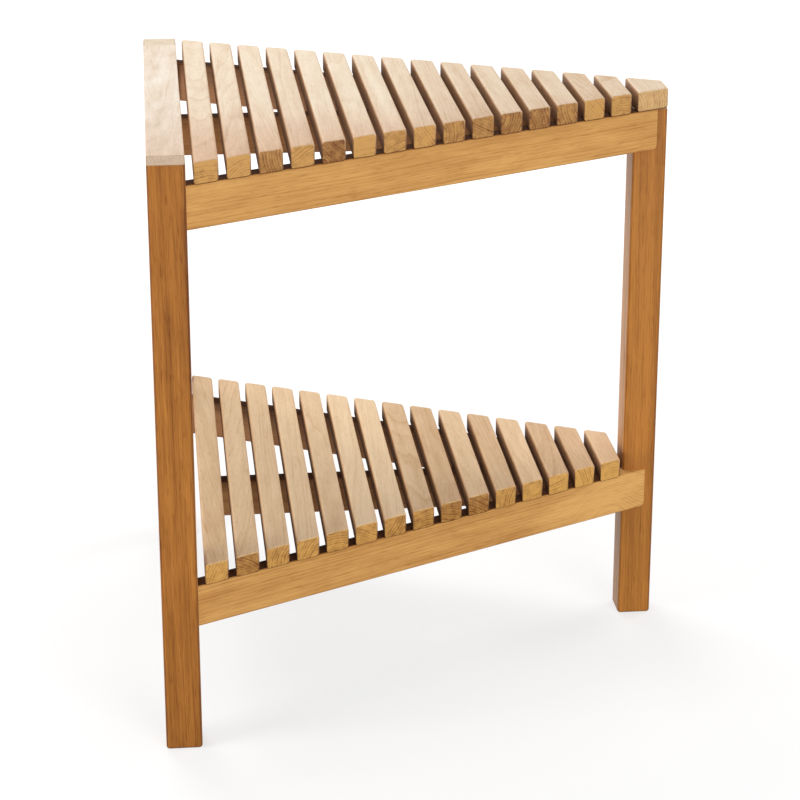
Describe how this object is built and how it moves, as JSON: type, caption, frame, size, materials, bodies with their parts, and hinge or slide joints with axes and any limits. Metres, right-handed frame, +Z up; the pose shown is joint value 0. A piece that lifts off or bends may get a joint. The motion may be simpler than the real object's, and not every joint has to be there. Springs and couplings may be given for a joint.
{
  "type": "shower bench",
  "caption": "Triangular teak shower bench on square legs, with a slatted seat over a slatted storage shelf.",
  "frame": {"origin": "on the floor, under the middle of the bench's outline box", "axes": "+Z up; X along the slats, with the two long-side legs at -X and +X; +Y from the long side to the single leg at the point. The picture looks along -X, a little down."},
  "size_m": [0.447, 0.415, 0.457],
  "materials": {
    "teak_legs": "oiled teak, straight grain, satin",
    "teak_rails": "oiled teak, straight grain, satin",
    "teak_seat": "sanded teak, matt",
    "teak_shelf": "sanded teak, matt",
    "dowel_wood": "plain hardwood dowel"
  },
  "bodies": {
    "root": {"leg_left": "teak_legs", "leg_right": "teak_legs", "leg_point": "teak_legs", "seat_rail_left": "teak_rails", "seat_rail_right": "teak_rails", "seat_rail_mid": "teak_rails", "shelf_rail_left": "teak_rails", "shelf_rail_right": "teak_rails", "shelf_rail_mid": "teak_rails", "seat_end_slat": "teak_seat", "seat_nose_slat": "teak_seat", "seat_slat_01": "teak_seat", "seat_slat_02": "teak_seat", "seat_slat_03": "teak_seat", "seat_slat_04": "teak_seat", "seat_slat_05": "teak_seat", "seat_slat_06": "teak_seat", "seat_slat_07": "teak_seat", "seat_slat_08": "teak_seat", "seat_slat_09": "teak_seat", "seat_slat_10": "teak_seat", "seat_slat_11": "teak_seat", "seat_slat_12": "teak_seat", "seat_slat_13": "teak_seat", "seat_slat_14": "teak_seat", "seat_slat_15": "teak_seat", "shelf_slat_01": "teak_shelf", "shelf_slat_02": "teak_shelf", "shelf_slat_03": "teak_shelf", "shelf_slat_04": "teak_shelf", "shelf_slat_05": "teak_shelf", "shelf_slat_06": "teak_shelf", "shelf_slat_07": "teak_shelf", "shelf_slat_08": "teak_shelf", "shelf_slat_09": "teak_shelf", "shelf_slat_10": "teak_shelf", "shelf_slat_11": "teak_shelf", "shelf_slat_12": "teak_shelf", "shelf_slat_13": "teak_shelf", "shelf_slat_14": "teak_shelf", "shelf_slat_15": "teak_shelf", "seat_dowels": "dowel_wood", "shelf_dowels": "dowel_wood"}
  },
  "joints": []
}
